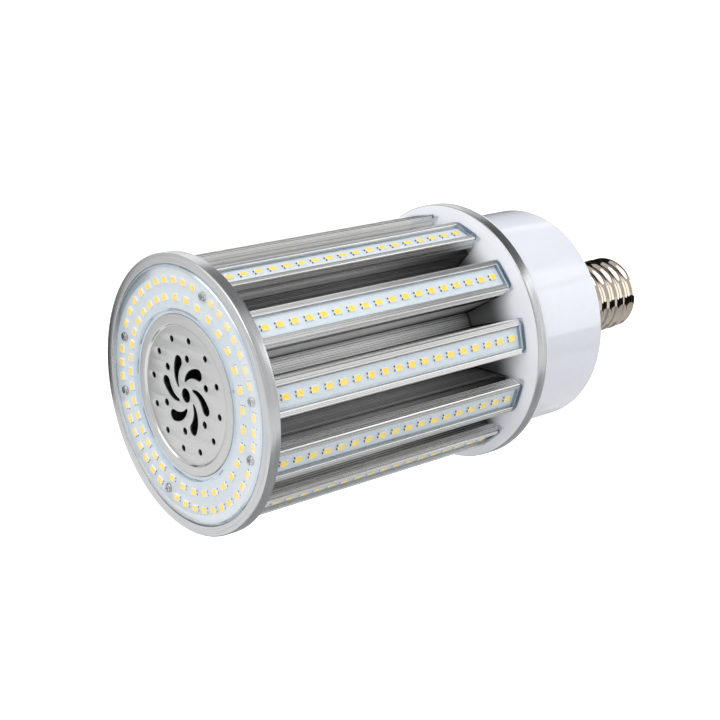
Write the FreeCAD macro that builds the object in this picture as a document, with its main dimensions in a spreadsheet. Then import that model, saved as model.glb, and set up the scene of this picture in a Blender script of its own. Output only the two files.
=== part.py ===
import FreeCAD, Part
import math
import os
import Sketcher

# Corn lamp: a ribbed aluminium star with twelve boards of light-emitting
# diodes, a ring of them behind a clear lens on the front face, and a mogul
# screw cap at the back. Lengths are millimetres and angles are degrees.
# Every piece is drawn with X measured from the front face, and is then moved
# so that the origin is the centre of the screw cap's rim.

doc = FreeCAD.newDocument("CornLamp")
sheet = doc.addObject("Spreadsheet::Sheet", "Sizes")


class Size:
    """A length, angle or count as an expression with its present value."""

    def __init__(self, text, value):
        self.text = text
        self.value = value

    def join(self, sign, other, value, swap=False):
        left, right = self.text, as_size(other).text
        if swap:
            left, right = right, left
        return Size("(%s %s %s)" % (left, sign, right), value)

    def __add__(self, other):
        return self.join("+", other, self.value + as_size(other).value)

    def __radd__(self, other):
        return self.join("+", other, as_size(other).value + self.value, True)

    def __sub__(self, other):
        return self.join("-", other, self.value - as_size(other).value)

    def __rsub__(self, other):
        return self.join("-", other, as_size(other).value - self.value, True)

    def __mul__(self, other):
        return self.join("*", other, self.value * as_size(other).value)

    def __rmul__(self, other):
        return self.join("*", other, as_size(other).value * self.value, True)

    def __truediv__(self, other):
        return self.join("/", other, self.value / as_size(other).value)

    def __neg__(self):
        return Size("(0 - %s)" % self.text, -self.value)


def as_size(number):
    return number if isinstance(number, Size) else Size(repr(float(number)), float(number))


def cosine(angle):
    return Size("cos(%s)" % angle.text, math.cos(math.radians(angle.value)))


def sine(angle):
    return Size("sin(%s)" % angle.text, math.sin(math.radians(angle.value)))


def size(name, value):
    """One driving dimension: a named cell of the sheet."""
    size.row += 1
    sheet.set("A%d" % size.row, name)
    sheet.set("B%d" % size.row, str(value))
    sheet.setAlias("B%d" % size.row, name)
    return Size("Sizes." + name, value)


size.row = 0

# Driving sizes of the whole lamp
lamp_radius = size("lamp_radius", 64.4)
arm_height = size("arm_height", 23.2)
bar_count = 12
bar_phase = size("bar_phase", 18.5)
bar_pitch = size("bar_pitch", 30.0)
seat_gap = size("seat_gap", 0.05)
half = 0.5

# Extruded star heat sink, measured inwards from the lips of its channels
lip_inset = size("lip_inset", 4.1)
lip_thick = size("lip_thick", 1.4)
lip_gap = size("lip_gap", 10.8)
slot_depth = size("slot_depth", 2.05)
slot_width = size("slot_width", 13.2)
head_floor = size("head_floor", 2.25)
head_width = size("head_width", 16.5)
neck_length = size("neck_length", 3.8)
neck_width = size("neck_width", 9.4)
arm_wall = size("arm_wall", 1.4)
arm_root_width = size("arm_root_width", 11.6)
arm_ridge_width = size("arm_ridge_width", 14.8)
arm_ridge_thick = size("arm_ridge_thick", 1.0)
core_wall = size("core_wall", 2.6)
side_rib_depth = size("side_rib_depth", 0.55)
side_rib_count = 4
floor_rib_height = size("floor_rib_height", 0.7)
floor_rib_width = size("floor_rib_width", 0.9)
floor_rib_pitch = size("floor_rib_pitch", 2.0)
floor_rib_count = 3
star_start = size("star_start", 3.0)
star_length = size("star_length", 149.4)
star_end = star_start + star_length
lip_top = lamp_radius - lip_inset
lip_bottom = lip_top - lip_thick
board_seat = lip_bottom - slot_depth
head_bottom = board_seat - head_floor
arm_ridge_radius = head_bottom - neck_length
core_radius = lip_top - arm_height

# Bezel ring round the front face
bezel_length = size("bezel_length", 6.0)
bezel_lip_width = size("bezel_lip_width", 4.8)
bezel_lip_depth = size("bezel_lip_depth", 0.6)
bezel_wall = size("bezel_wall", 2.5)
bezel_bevel = size("bezel_bevel", 0.8)
bezel_lip_radius = lamp_radius - bezel_lip_width
skirt_inner = lamp_radius - bezel_wall

# Clear ring lens
lens_crown = size("lens_crown", 1.2)
lens_wall = size("lens_wall", 1.2)
lens_outer_gap = size("lens_outer_gap", 0.3)
lens_inner_gap = size("lens_inner_gap", 1.3)
lens_foot_gap = size("lens_foot_gap", 0.4)
lens_outer_bevel = size("lens_outer_bevel", 1.6)
lens_inner_bevel = size("lens_inner_bevel", 0.7)
lens_outer = bezel_lip_radius - lens_outer_gap
lens_inner = core_radius + lens_inner_gap
lens_foot = skirt_inner - lens_foot_gap

# Ring board on the front face, with its screws and diodes
face_board_thick = size("face_board_thick", 1.6)
face_board_gap = size("face_board_gap", 0.1)
led_height = size("led_height", 0.8)
led_long = size("led_long", 3.7)
led_wide = size("led_wide", 3.0)
screw_rise = size("screw_rise", 0.8)
outer_ring_rise = size("outer_ring_rise", 1.6)
ring_pitch = size("ring_pitch", 7.7)
inner_ring_phase = size("inner_ring_phase", 72.6)
screw_head_radius = size("screw_head_radius", 2.7)
screw_head_high = size("screw_head_high", 1.3)
screw_shank_radius = size("screw_shank_radius", 1.25)
screw_length = size("screw_length", 10.0)
screw_play = size("screw_play", 0.05)
screw_hole_play = size("screw_hole_play", 0.35)
screw_circle = arm_ridge_radius + screw_rise
outer_ring_radius = arm_ridge_radius + outer_ring_rise
inner_ring_radius = outer_ring_radius - ring_pitch
screw_port_radius = screw_shank_radius + screw_play
screw_hole_radius = screw_shank_radius + screw_hole_play
face_board_front = star_start - face_board_thick

# Perforated vent disc in the middle of the front face
disc_rim_front = size("disc_rim_front", 0.8)
disc_rim_width = size("disc_rim_width", 4.9)
disc_step_depth = size("disc_step_depth", 0.8)
disc_sheet = size("disc_sheet", 0.9)
disc_bevel = size("disc_bevel", 0.4)
centre_hole_radius = size("centre_hole_radius", 3.3)
inner_hole_radius = size("inner_hole_radius", 1.7)
inner_hole_circle = size("inner_hole_circle", 17.4)
inner_hole_phase = size("inner_hole_phase", 35.6)
outer_hole_radius = size("outer_hole_radius", 1.5)
outer_hole_inset = size("outer_hole_inset", 6.1)
outer_hole_phase = size("outer_hole_phase", 7.6)
swirl_inner_circle = size("swirl_inner_circle", 6.9)
swirl_reach = size("swirl_reach", 8.8)
swirl_start_angle = size("swirl_start_angle", 29.0)
swirl_sweep = size("swirl_sweep", 42.0)
swirl_tip_radius = size("swirl_tip_radius", 0.8)
swirl_head_radius = size("swirl_head_radius", 2.7)
disc_step_radius = core_radius - disc_rim_width
outer_hole_circle = disc_step_radius - outer_hole_inset

# Bar boards, their diodes and clear covers
bar_board_play = size("bar_board_play", 0.2)
bar_board_thick = size("bar_board_thick", 1.6)
bar_board_setback = size("bar_board_setback", 0.2)
bar_board_tail = size("bar_board_tail", 2.6)
bar_led_inset = size("bar_led_inset", 10.4)
bar_led_tail = size("bar_led_tail", 4.7)
bar_led_count = size("bar_led_count", 18)
cover_play = size("cover_play", 0.2)
cover_rise = size("cover_rise", 0.65)
cover_wall = size("cover_wall", 0.8)
cover_bevel = size("cover_bevel", 0.7)
cover_end_inset = size("cover_end_inset", 0.35)
cover_end_round = size("cover_end_round", 2.6)
cover_end_length = size("cover_end_length", 2.9)
bar_board_width = slot_width - bar_board_play * 2
bar_board_start = star_start + bar_board_setback
bar_board_end = star_end + bar_board_tail
bar_led_first = star_start + bar_led_inset
bar_led_pitch = (star_length - bar_led_inset - bar_led_tail) / (bar_led_count - 1)
cover_width = lip_gap - cover_play * 2
cover_top = lip_top + cover_rise
cover_end_width = head_width - cover_end_inset * 2
cover_end = star_end + cover_end_length

# White flange behind the star, and the trim ring round it
flange_reach = size("flange_reach", 9.4)
flange_edge_step = size("flange_edge_step", 6.9)
flange_inset = size("flange_inset", 0.1)
flange_depth = size("flange_depth", 6.3)
flange_collar_wall = size("flange_collar_wall", 1.0)
flange_fit = size("flange_fit", 0.3)
flange_land = size("flange_land", 0.3)
flange_floor = size("flange_floor", 3.0)
flange_seat_width = size("flange_seat_width", 4.8)
flange_web_inset = size("flange_web_inset", 4.8)
flange_pocket_gap = size("flange_pocket_gap", 1.1)
flange_pocket_rise = size("flange_pocket_rise", 1.4)
trim_width = size("trim_width", 2.5)
trim_proud = size("trim_proud", 0.5)
trim_length = size("trim_length", 5.8)
trim_bevel = size("trim_bevel", 0.4)
flange_front = star_end - flange_reach
flange_edge = star_end + flange_edge_step
flange_radius = lamp_radius - flange_inset
flange_web_radius = arm_ridge_radius - flange_web_inset
flange_pocket_end = cover_end + flange_pocket_gap
flange_pocket_top = lip_top + flange_pocket_rise
trim_outer = flange_radius + trim_proud
trim_inner = trim_outer - trim_width
flange_seat_radius = trim_inner - flange_seat_width

# White driver housing
housing_lip_inset = size("housing_lip_inset", 0.3)
housing_lip_thick = size("housing_lip_thick", 1.9)
housing_lip_width = size("housing_lip_width", 9.25)
housing_wall = size("housing_wall", 2.5)
housing_length = size("housing_length", 50.1)
housing_bevel = size("housing_bevel", 1.2)
shoulder_length = size("shoulder_length", 3.8)
shoulder_inset = size("shoulder_inset", 7.75)
cone_length = size("cone_length", 18.5)
cap_neck_length = size("cap_neck_length", 9.0)
neck_growth = size("neck_growth", 5.1)
neck_proud = size("neck_proud", 0.05)
spigot_gap = size("spigot_gap", 1.45)
spigot_length = size("spigot_length", 10.0)
spigot_wall = size("spigot_wall", 1.2)
housing_start = flange_edge + flange_depth
housing_lip_radius = flange_radius - housing_lip_inset
housing_radius = housing_lip_radius - housing_lip_width
housing_back = housing_start + housing_length
shoulder_end = housing_back + shoulder_length
shoulder_radius = housing_radius - shoulder_inset
neck_start = shoulder_end + cone_length
cap_rim = neck_start + cap_neck_length

# Mogul screw cap
shell_collar_radius = size("shell_collar_radius", 19.35)
shell_collar_length = size("shell_collar_length", 3.5)
thread_height = size("thread_height", 1.65)
crest_rise = size("crest_rise", 0.25)
shell_wall = size("shell_wall", 0.8)
shell_length = size("shell_length", 37.0)
shell_end_inset = size("shell_end_inset", 4.6)
shell_taper_length = size("shell_taper_length", 3.2)
shell_rim_width = size("shell_rim_width", 3.0)
insulator_lap = size("insulator_lap", 1.2)
insulator_foot_inset = size("insulator_foot_inset", 0.6)
insulator_back_radius = size("insulator_back_radius", 9.6)
insulator_length = size("insulator_length", 6.3)
insulator_bore = size("insulator_bore", 1.4)
contact_inset = size("contact_inset", 1.0)
contact_thick = size("contact_thick", 2.0)
contact_tip_radius = size("contact_tip_radius", 4.5)
shell_crest_radius = shell_collar_radius + crest_rise
shell_root_radius = shell_crest_radius - thread_height
shell_end = cap_rim + shell_length
shell_end_radius = shell_crest_radius - shell_end_inset
shell_hole_radius = shell_end_radius - shell_rim_width
insulator_front_radius = shell_hole_radius + insulator_lap
insulator_foot_radius = shell_end_radius - insulator_foot_inset
contact_radius = insulator_back_radius - contact_inset
neck_end_radius = shell_collar_radius + neck_proud
neck_start_radius = neck_end_radius + neck_growth
spigot_radius = shell_collar_radius - shell_wall - spigot_gap

# Driver inside the housing
driver_board_setback = size("driver_board_setback", 4.4)
driver_board_thick = size("driver_board_thick", 1.6)
driver_board_gap = size("driver_board_gap", 0.25)
driver_board_hole = size("driver_board_hole", 6.0)
transformer_wide = size("transformer_wide", 30.0)
transformer_high = size("transformer_high", 26.0)
transformer_deep = size("transformer_deep", 24.0)
capacitor_radius = size("capacitor_radius", 9.0)
capacitor_length = size("capacitor_length", 32.0)
choke_radius = size("choke_radius", 12.0)
choke_section = size("choke_section", 4.5)
lead_radius = size("lead_radius", 1.0)
side_lead_gap = size("side_lead_gap", 0.1)
driver_board_radius = housing_radius - housing_wall - driver_board_gap
driver_board_start = housing_start + driver_board_setback
component_offset = driver_board_radius * half
side_lead_offset = spigot_radius - spigot_wall - side_lead_gap - lead_radius


def origin_plane(body, role):
    """The body's own origin plane with that role, such as YZ_Plane."""
    for feature in body.Origin.OriginFeatures:
        if feature.Role == role:
            return feature
    raise RuntimeError("no plane " + role)


def new_body(label, angle=None):
    """A body that is moved to the lamp's frame and turned about its axis."""
    body = doc.addObject("PartDesign::Body", label)
    body.Label = label
    turn = angle.value if angle else 0.0
    along = FreeCAD.Vector(1, 0, 0)
    body.Placement = FreeCAD.Placement(along * -cap_rim.value, FreeCAD.Rotation(along, turn))
    body.setExpression("Placement.Base.x", (-cap_rim).text)
    if angle:
        body.setExpression("Placement.Rotation.Angle", angle.text)
    return body


def bind(sketch, dimensions):
    """Adds dimensions to a sketch and ties each one to its expression."""
    made = [Sketcher.Constraint(kind, *ends, length.value) for kind, ends, length in dimensions]
    for index, dimension in zip(sketch.addConstraint(made), dimensions):
        sketch.setExpression("Constraints[%d]" % index, dimension[2].text)


def new_sketch(body, role, name, offset=None):
    """A sketch on one of the body's planes, or at a distance in front of it."""
    sketch = body.newObject("Sketcher::SketchObject", name)
    sketch.AttachmentSupport = (origin_plane(body, role), [""])
    sketch.MapMode = "FlatFace"
    if offset:
        sketch.AttachmentOffset = FreeCAD.Placement(
            FreeCAD.Vector(0, 0, offset.value), FreeCAD.Rotation())
        sketch.setExpression("AttachmentOffset.Base.z", offset.text)
    return sketch


def draw_outline(sketch, corners):
    """A closed outline of straight edges, each corner tied to its two sizes."""
    corners = [(as_size(across), as_size(up)) for across, up in corners]
    first = sketch.GeometryCount
    count = len(corners)
    edges, joints, dimensions = [], [], []
    for index, (across, up) in enumerate(corners):
        there = corners[(index + 1) % count]
        edges.append(Part.LineSegment(
            FreeCAD.Vector(across.value, up.value, 0),
            FreeCAD.Vector(there[0].value, there[1].value, 0)))
        after = first + (index + 1) % count
        joints.append(Sketcher.Constraint("Coincident", first + index, 2, after, 1))
        dimensions.append(("DistanceX", (-1, 1, first + index, 1), across))
        dimensions.append(("DistanceY", (-1, 1, first + index, 1), up))
    sketch.addGeometry(edges, False)
    sketch.addConstraint(joints)
    bind(sketch, dimensions)


def draw_circle(sketch, across, up, radius):
    """A circle whose centre and radius are tied to their sizes."""
    across, up = as_size(across), as_size(up)
    centre = FreeCAD.Vector(across.value, up.value, 0)
    edge = sketch.addGeometry(Part.Circle(centre, FreeCAD.Vector(0, 0, 1), radius.value), False)
    bind(sketch, [
        ("Radius", (edge,), radius),
        ("DistanceX", (-1, 1, edge, 3), across),
        ("DistanceY", (-1, 1, edge, 3), up)])


def polar(radius, angle):
    return radius * cosine(angle), radius * sine(angle)


def turned(body, name, corners):
    """A solid of revolution about X; corners are (station, radius) pairs."""
    sketch = new_sketch(body, "XY_Plane", name + "_profile")
    draw_outline(sketch, corners)
    feature = body.newObject("PartDesign::Revolution", name)
    feature.Profile = sketch
    feature.ReferenceAxis = (sketch, ["H_Axis"])
    feature.Angle = 360
    return feature


def padded(body, name, sketch, length):
    feature = body.newObject("PartDesign::Pad", name)
    feature.Profile = sketch
    feature.Length = length.value
    feature.setExpression("Length", length.text)
    return feature


def pocketed(body, name, sketch, length, towards_back=False):
    """Cuts a sketch towards the front face, or towards the cap."""
    feature = body.newObject("PartDesign::Pocket", name)
    feature.Profile = sketch
    feature.Reversed = towards_back
    feature.Length = length.value
    feature.setExpression("Length", length.text)
    return feature


def patterned(body, name, originals, count, step=None):
    """Copies features round the X axis, evenly or with a given step."""
    feature = body.newObject("PartDesign::PolarPattern", name)
    feature.Originals = originals
    axis = [item for item in body.Origin.OriginFeatures if item.Role == "X_Axis"][0]
    feature.Axis = (axis, [""])
    if step is None:
        feature.Angle = 360
    else:
        feature.Mode = "Spacing"
        feature.Offset = step.value
        feature.setExpression("Offset", step.text)
    feature.Occurrences = count
    body.Tip = feature
    return feature


def bar_angle(index):
    """The turn about X that brings a bar drawn at +Z to its place."""
    return bar_phase + bar_pitch * index


nothing = as_size(0)

# Bezel ring: a turned cup with a thin lip that holds the lens down
bezel = new_body("bezel_ring")
turned(bezel, "bezel_turned", [
    (nothing, bezel_lip_radius),
    (nothing, lamp_radius - bezel_bevel),
    (bezel_bevel, lamp_radius),
    (bezel_length, lamp_radius),
    (bezel_length, skirt_inner),
    (bezel_lip_depth, skirt_inner),
    (bezel_lip_depth, bezel_lip_radius)])

# Clear lens: a ring-shaped trough with a foot that the bezel's lip holds
lens_inside = lens_wall - lens_crown
lens_turn = lens_outer_bevel * half
lens = new_body("face_lens")
turned(lens, "lens_turned", [
    (face_board_front, lens_foot),
    (bezel_lip_depth, lens_foot),
    (bezel_lip_depth, lens_outer),
    (lens_outer_bevel - lens_crown, lens_outer),
    (-lens_crown, lens_outer - lens_outer_bevel),
    (-lens_crown, lens_inner + lens_inner_bevel),
    (lens_inner_bevel - lens_crown, lens_inner),
    (face_board_front, lens_inner),
    (face_board_front, lens_inner + lens_wall),
    (lens_inside, lens_inner + lens_wall),
    (lens_inside, lens_outer - lens_wall - lens_turn),
    (lens_inside + lens_turn, lens_outer - lens_wall),
    (face_board_front, lens_outer - lens_wall)])

# Ring board, screwed through the arms' screw ports
face_screw_arms = (0, 2, 3, 6, 8, 9)
face_board = new_body("face_board")
board_sketch = new_sketch(face_board, "YZ_Plane", "face_board_outline", face_board_front)
draw_circle(board_sketch, 0, 0, lens_foot)
draw_circle(board_sketch, 0, 0, core_radius + face_board_gap)
for arm in face_screw_arms:
    hole_y, hole_z = polar(screw_circle, bar_angle(arm) + 90)
    draw_circle(board_sketch, hole_y, hole_z, screw_hole_radius)
padded(face_board, "face_board_sheet", board_sketch, face_board_thick)


def diode_arcs(label, radius, arcs):
    """Rows of flat packages on the ring board, long side along the ring.

    Each arc is the angle of its first diode, the step and the count.
    """
    body = new_body(label)
    for number, (start, step, count) in enumerate(arcs, 1):
        name = "%s_%d" % (label, number)
        sketch = new_sketch(body, "YZ_Plane", name + "_outline", face_board_front - led_height)
        corners = []
        for along, out in ((-half, -half), (half, -half), (half, half), (-half, half)):
            reach = radius + led_wide * out
            slide = led_long * along
            corners.append((reach * cosine(start) - slide * sine(start),
                            reach * sine(start) + slide * cosine(start)))
        draw_outline(sketch, corners)
        package = padded(body, name, sketch, led_height)
        patterned(body, name + "_row", [package], count, step)


# The outer ring fills the stretches between the six screws
outer_arcs = []
fills = {1: 3, 2: 7, 3: 10}
for place, arm in enumerate(face_screw_arms):
    arms_on = (face_screw_arms[(place + 1) % 6] - arm) % bar_count
    between = fills[arms_on]
    spacing = bar_pitch * (arms_on / (between + 1))
    outer_arcs.append((bar_angle(arm) + 90 + spacing, spacing, between))
diode_arcs("face_leds_outer", outer_ring_radius, outer_arcs)

# The inner ring is spaced wider over five eighths of its length
wide_step = as_size(360 * 0.625 / 20)
close_step = as_size(360 * 0.375 / 15)
diode_arcs("face_leds_inner", inner_ring_radius, [
    (inner_ring_phase, wide_step, 20),
    (inner_ring_phase + wide_step * 20, close_step, 15)])

# Pan-head screws that hold the ring board to the star
face_screws = new_body("face_screws")
head_sketch = new_sketch(face_screws, "YZ_Plane", "face_screw_heads",
                         face_board_front - screw_head_high)
shank_sketch = new_sketch(face_screws, "YZ_Plane", "face_screw_shanks", face_board_front)
for arm in face_screw_arms:
    screw_y, screw_z = polar(screw_circle, bar_angle(arm) + 90)
    draw_circle(head_sketch, screw_y, screw_z, screw_head_radius)
    draw_circle(shank_sketch, screw_y, screw_z, screw_shank_radius)
padded(face_screws, "face_screw_head_pad", head_sketch, screw_head_high)
padded(face_screws, "face_screw_shank_pad", shank_sketch, screw_length)

# Vent disc: a shallow pressed pan, pierced with holes and swirl slots
disc_floor = disc_rim_front + disc_step_depth
disc_slope = disc_step_depth * half
vent_disc = new_body("vent_disc")
turned(vent_disc, "disc_pressed", [
    (star_start, core_radius),
    (disc_rim_front + disc_bevel, core_radius),
    (disc_rim_front, core_radius - disc_bevel),
    (disc_rim_front, disc_step_radius + disc_slope),
    (disc_floor, disc_step_radius - disc_slope),
    (disc_floor, nothing),
    (disc_floor + disc_sheet, nothing),
    (disc_floor + disc_sheet, disc_step_radius),
    (disc_rim_front + disc_sheet, disc_step_radius + disc_slope * 2),
    (disc_rim_front + disc_sheet, core_radius - disc_sheet),
    (star_start, core_radius - disc_sheet)])


def pierce(name, draw):
    """Cuts what draw puts in a sketch right through the disc's floor."""
    sketch = new_sketch(vent_disc, "YZ_Plane", name + "_outline", star_start)
    draw(sketch)
    return pocketed(vent_disc, name, sketch, star_start)


def swirl(sketch):
    """A comma-shaped slot that winds outwards and widens, with round ends."""
    steps, cap_steps = 6, 4
    left, right = [], []
    for step in range(steps + 1):
        share = step / steps
        angle = swirl_start_angle + swirl_sweep * share
        radius = swirl_inner_circle + swirl_reach * share
        width = swirl_tip_radius + (swirl_head_radius - swirl_tip_radius) * share
        lean = angle + 52.0
        y, z = polar(radius, angle)
        left.append((y + width * cosine(lean + 90), z + width * sine(lean + 90)))
        right.append((y + width * cosine(lean - 90), z + width * sine(lean - 90)))
    caps = []
    for centre, angle, width, start in (
            (swirl_inner_circle + swirl_reach, swirl_start_angle + swirl_sweep, swirl_head_radius,
             90),
            (swirl_inner_circle, swirl_start_angle, swirl_tip_radius, -90)):
        y, z = polar(centre, angle)
        lean = angle + 52.0
        cap = []
        for step in range(1, cap_steps):
            around = lean + (start - 180.0 * step / cap_steps)
            cap.append((y + width * cosine(around), z + width * sine(around)))
        caps.append(cap)
    draw_outline(sketch, left + caps[0] + right[::-1] + caps[1])


pierce("centre_hole", lambda sketch: draw_circle(sketch, 0, 0, centre_hole_radius))
inner_hole = pierce("inner_hole", lambda sketch: draw_circle(
    sketch, *polar(inner_hole_circle, inner_hole_phase), inner_hole_radius))
patterned(vent_disc, "inner_holes", [inner_hole], 6)
outer_hole = pierce("outer_hole", lambda sketch: draw_circle(
    sketch, *polar(outer_hole_circle, outer_hole_phase), outer_hole_radius))
patterned(vent_disc, "outer_holes", [outer_hole], 12)
swirl_slot = pierce("swirl_slot", swirl)
patterned(vent_disc, "swirl_slots", [swirl_slot], 6)

# Star heat sink: a ribbed core tube with twelve arms, each ending in a channel
def arm_half_outline():
    """Right-hand side of one arm, from its root in the core up to the board's seat."""
    root_depth = core_radius - core_wall * half
    ridge_foot = arm_ridge_radius - arm_ridge_thick
    points = [(arm_root_width * half, root_depth)]
    rise = ridge_foot - core_radius
    growth = (arm_ridge_width - arm_root_width) * half
    for rib in range(side_rib_count):
        for share, proud in ((0.15, 0.0), (0.35, 1.0), (0.65, 1.0), (0.85, 0.0)):
            level = (rib + share) / side_rib_count
            inset = side_rib_depth * (1.0 - proud)
            points.append((arm_root_width * half + growth * level - inset,
                           core_radius + rise * level))
    points += [
        (arm_ridge_width * half, ridge_foot),
        (arm_ridge_width * half, arm_ridge_radius),
        (neck_width * half, arm_ridge_radius),
        (neck_width * half, head_bottom),
        (head_width * half, head_bottom),
        (head_width * half, lip_top),
        (lip_gap * half, lip_top),
        (lip_gap * half, lip_bottom),
        (slot_width * half, lip_bottom),
        (slot_width * half, board_seat)]
    return points


star = new_body("heat_sink", bar_phase)
core_sketch = new_sketch(star, "YZ_Plane", "core_ring", star_start)
draw_circle(core_sketch, 0, 0, core_radius)
draw_circle(core_sketch, 0, 0, core_radius - core_wall)
padded(star, "core_tube", core_sketch, star_length)

arm_sketch = new_sketch(star, "YZ_Plane", "arm_section", star_start)
right_side = arm_half_outline()
left_side = [(-across, up) for across, up in reversed(right_side)]
draw_outline(arm_sketch, right_side + left_side)
draw_circle(arm_sketch, 0, screw_circle, screw_port_radius)
hollow_foot = arm_root_width * half - side_rib_depth - arm_wall
hollow_head = arm_ridge_width * half - side_rib_depth - arm_wall
hollow_top = arm_ridge_radius - arm_ridge_thick - arm_wall
draw_outline(arm_sketch, [
    (hollow_foot, core_radius + arm_wall * half),
    (hollow_head, hollow_top),
    (-hollow_head, hollow_top),
    (-hollow_foot, core_radius + arm_wall * half)])
arm_pad = padded(star, "arm", arm_sketch, star_length)
patterned(star, "arms", [arm_pad], bar_count)

rib_sketch = new_sketch(star, "YZ_Plane", "valley_ribs", star_start)
for rib in range(floor_rib_count):
    lean = bar_pitch * half + 90
    shift = floor_rib_pitch * (rib - (floor_rib_count - 1) * half)
    corners = []
    for side, lift in ((-half, -1.0), (half, -1.0), (half, 1.0), (-half, 1.0)):
        slide = shift + floor_rib_width * side
        reach = core_radius + floor_rib_height * lift
        corners.append((reach * cosine(lean) - slide * sine(lean),
                        reach * sine(lean) + slide * cosine(lean)))
    draw_outline(rib_sketch, corners)
rib_pad = padded(star, "valley_rib", rib_sketch, star_length)
patterned(star, "all_valley_ribs", [rib_pad], bar_count)

# Bars: a board, its row of diodes and a clear cover in each arm's channel
board_top = board_seat + bar_board_thick
for index in range(bar_count):
    number = "%02d" % (index + 1)
    angle = bar_angle(index)

    board = new_body("bar_board_" + number, angle)
    outline = new_sketch(board, "YZ_Plane", "bar_board_section_" + number, bar_board_start)
    draw_outline(outline, [
        (-bar_board_width * half, board_seat),
        (bar_board_width * half, board_seat),
        (bar_board_width * half, board_top),
        (-bar_board_width * half, board_top)])
    padded(board, "bar_board_strip_" + number, outline, bar_board_end - bar_board_start)

    leds = new_body("bar_leds_" + number, angle)
    led_start = bar_led_first - led_long * half
    outline = new_sketch(leds, "YZ_Plane", "bar_led_section_" + number, led_start)
    draw_outline(outline, [
        (-led_wide * half, board_top),
        (led_wide * half, board_top),
        (led_wide * half, board_top + led_height),
        (-led_wide * half, board_top + led_height)])
    package = padded(leds, "bar_led_" + number, outline, led_long)
    row = leds.newObject("PartDesign::LinearPattern", "bar_led_row_" + number)
    row.Originals = [package]
    axis = [item for item in leds.Origin.OriginFeatures if item.Role == "X_Axis"][0]
    row.Direction = (axis, [""])
    row.Mode = "Spacing"
    row.setExpression("Offset", bar_led_pitch.text)
    row.setExpression("Occurrences", bar_led_count.text)
    leds.Tip = row

    cover = new_body("bar_cover_" + number, angle)
    outline = new_sketch(cover, "YZ_Plane", "bar_cover_section_" + number, bar_board_start)
    outer = cover_width * half
    inner = outer - cover_wall
    side = [
        (inner, board_top),
        (outer, board_top),
        (outer, cover_top - cover_bevel),
        (outer - cover_bevel, cover_top)]
    inside = [
        (inner, cover_top - cover_bevel - cover_wall * half),
        (inner - cover_bevel * half, cover_top - cover_wall)]
    right = inside[::-1] + side
    draw_outline(outline, right + [(-across, up) for across, up in reversed(right)])
    padded(cover, "bar_cover_strip_" + number, outline, star_end - bar_board_start)
    plan = new_sketch(cover, "XY_Plane", "bar_cover_end_plan_" + number, board_top)
    draw_outline(plan, [
        (star_end, -cover_end_width * half),
        (cover_end - cover_end_round, -cover_end_width * half),
        (cover_end, cover_end_round - cover_end_width * half),
        (cover_end, cover_end_width * half - cover_end_round),
        (cover_end - cover_end_round, cover_end_width * half),
        (star_end, cover_end_width * half)])
    padded(cover, "bar_cover_end_" + number, plan, lip_top - board_top)

# Flange: a conical dish with a pocket for every arm, board and cover end
flange = new_body("flange", bar_phase)
collar_inner = core_radius + flange_fit
flange_rim_start = flange_edge + flange_land
flange_back = star_end + flange_floor
turned(flange, "flange_dish", [
    (flange_front, collar_inner),
    (flange_front, collar_inner + flange_collar_wall),
    (flange_edge, flange_radius),
    (flange_rim_start, flange_radius),
    (flange_rim_start, trim_inner),
    (housing_start, trim_inner),
    (housing_start, flange_seat_radius),
    (flange_pocket_end + flange_floor, flange_seat_radius),
    (flange_back, flange_web_radius),
    (flange_back, collar_inner)])
arm_pocket_sketch = new_sketch(flange, "YZ_Plane", "arm_pocket_outline", star_end)
draw_outline(arm_pocket_sketch, [
    (arm_root_width * half + flange_fit, core_radius - core_wall),
    (arm_ridge_width * half + flange_fit, arm_ridge_radius + flange_fit),
    (head_width * half + flange_fit, head_bottom - flange_fit),
    (head_width * half + flange_fit, flange_pocket_top),
    (-head_width * half - flange_fit, flange_pocket_top),
    (-head_width * half - flange_fit, head_bottom - flange_fit),
    (-arm_ridge_width * half - flange_fit, arm_ridge_radius + flange_fit),
    (-arm_root_width * half - flange_fit, core_radius - core_wall)])
arm_pocket = pocketed(flange, "arm_pocket", arm_pocket_sketch, star_end - flange_front)
end_pocket_sketch = new_sketch(flange, "YZ_Plane", "end_pocket_outline", flange_pocket_end)
draw_outline(end_pocket_sketch, [
    (-head_width * half - flange_fit, board_seat - flange_fit),
    (head_width * half + flange_fit, board_seat - flange_fit),
    (head_width * half + flange_fit, flange_pocket_top),
    (-head_width * half - flange_fit, flange_pocket_top)])
end_pocket = pocketed(flange, "end_pocket", end_pocket_sketch, flange_pocket_end - flange_front)
patterned(flange, "pockets", [arm_pocket, end_pocket], bar_count)

# Aluminium trim ring round the flange's rim
trim = new_body("trim_ring")
trim_end = flange_rim_start + trim_length
turned(trim, "trim_turned", [
    (flange_rim_start, trim_inner + seat_gap),
    (flange_rim_start, trim_outer - trim_bevel),
    (flange_rim_start + trim_bevel, trim_outer),
    (trim_end - trim_bevel, trim_outer),
    (trim_end, trim_outer - trim_bevel),
    (trim_end, trim_inner + seat_gap)])

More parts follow.
